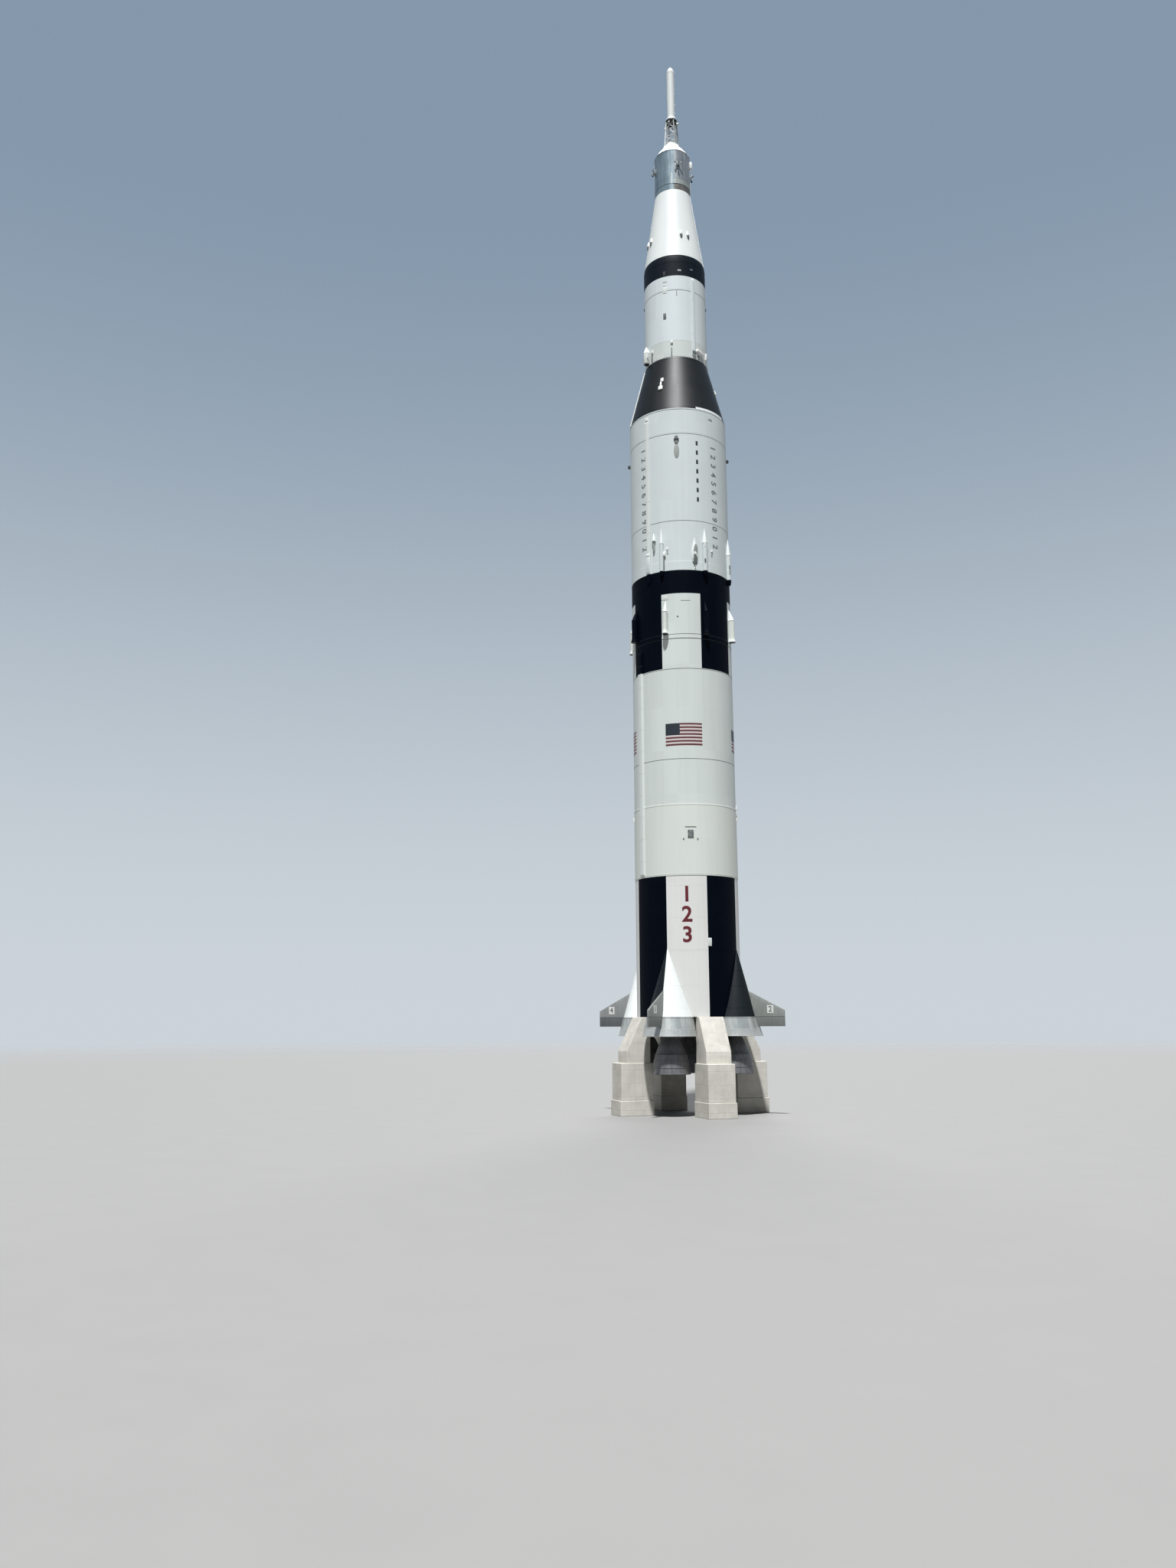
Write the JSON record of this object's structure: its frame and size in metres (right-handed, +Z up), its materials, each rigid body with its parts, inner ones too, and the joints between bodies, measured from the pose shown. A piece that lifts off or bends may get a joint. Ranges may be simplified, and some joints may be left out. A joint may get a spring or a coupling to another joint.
{
  "type": "space rocket scale model",
  "caption": "Tall staged space rocket with fins, flared engine skirts and an escape tower, standing on splayed concrete legs; a hatch on the lower stage swings open.",
  "frame": {"origin": "on the ground under the rocket's axis, at the bottom centre", "axes": "+Z up along the rocket, fins on the X and Y axes, legs between them"},
  "size_m": [1.924, 1.924, 11.4529],
  "materials": {
    "white_paint": "satin paint, slightly weathered",
    "bright_white_paint": "gloss paint",
    "black_paint": "semi-gloss paint",
    "door_paint": "satin paint",
    "bare_aluminium": "brushed, weathered",
    "fin_metal": "dull",
    "module_metal": "panelled, satin",
    "nozzle_metal": "dull grey paint",
    "concrete": "board-marked concrete"
  },
  "bodies": {
    "rocket": {"leg_1": "concrete", "leg_2": "concrete", "leg_3": "concrete", "leg_4": "concrete", "thrust_structure": "white_paint", "fuel_tank": "white_paint", "intertank": "white_paint", "oxidizer_tank": "white_paint", "forward_skirt_1": "white_paint", "engine_1": "nozzle_metal", "engine_2": "nozzle_metal", "engine_3": "nozzle_metal", "engine_4": "nozzle_metal", "engine_5": "nozzle_metal", "engine_fairing_1": "white_paint", "engine_fairing_2": "white_paint", "engine_fairing_3": "white_paint", "engine_fairing_4": "white_paint", "fairing_skirt_1": "bare_aluminium", "fairing_skirt_2": "bare_aluminium", "fairing_skirt_3": "bare_aluminium", "fairing_skirt_4": "bare_aluminium", "fin_1": "fin_metal", "fin_2": "fin_metal", "fin_3": "fin_metal", "fin_4": "fin_metal", "tunnel_1_1": "white_paint", "tunnel_1_2": "white_paint", "separation_ring": "black_paint", "interstage_2": "black_paint", "aft_skirt_2": "black_paint", "tank_2": "white_paint", "forward_skirt_2": "white_paint", "tunnel_2": "white_paint", "feed_fairing_1": "bright_white_paint", "feed_fairing_2": "bright_white_paint", "feed_fairing_3": "bright_white_paint", "feed_fairing_4": "bright_white_paint", "feed_fairing_5": "bright_white_paint", "drain_scoop": "bright_white_paint", "interstage_3": "black_paint", "aft_skirt_3": "white_paint", "tank_3": "white_paint", "forward_skirt_3": "white_paint", "tunnel_3": "white_paint", "control_pod_1": "white_paint", "control_pod_2": "white_paint", "instrument_ring": "black_paint", "adapter": "bright_white_paint", "service_module": "module_metal", "thruster_quad_1": "module_metal", "thruster_quad_2": "module_metal", "thruster_quad_3": "module_metal", "thruster_quad_4": "module_metal", "capsule_cover": "bright_white_paint", "escape_tower": "bare_aluminium", "escape_motor": "bright_white_paint", "motor_nose": "bare_aluminium"},
    "access_door": {"access_door": "door_paint"}
  },
  "joints": [
    {"name": "access_door_hinge", "type": "hinge", "parent": "rocket", "child": "access_door", "pos_m": [0.21686, -0.46076, 2.61366], "axis": [0, 0, -1], "range_deg": [0, 100]}
  ]
}
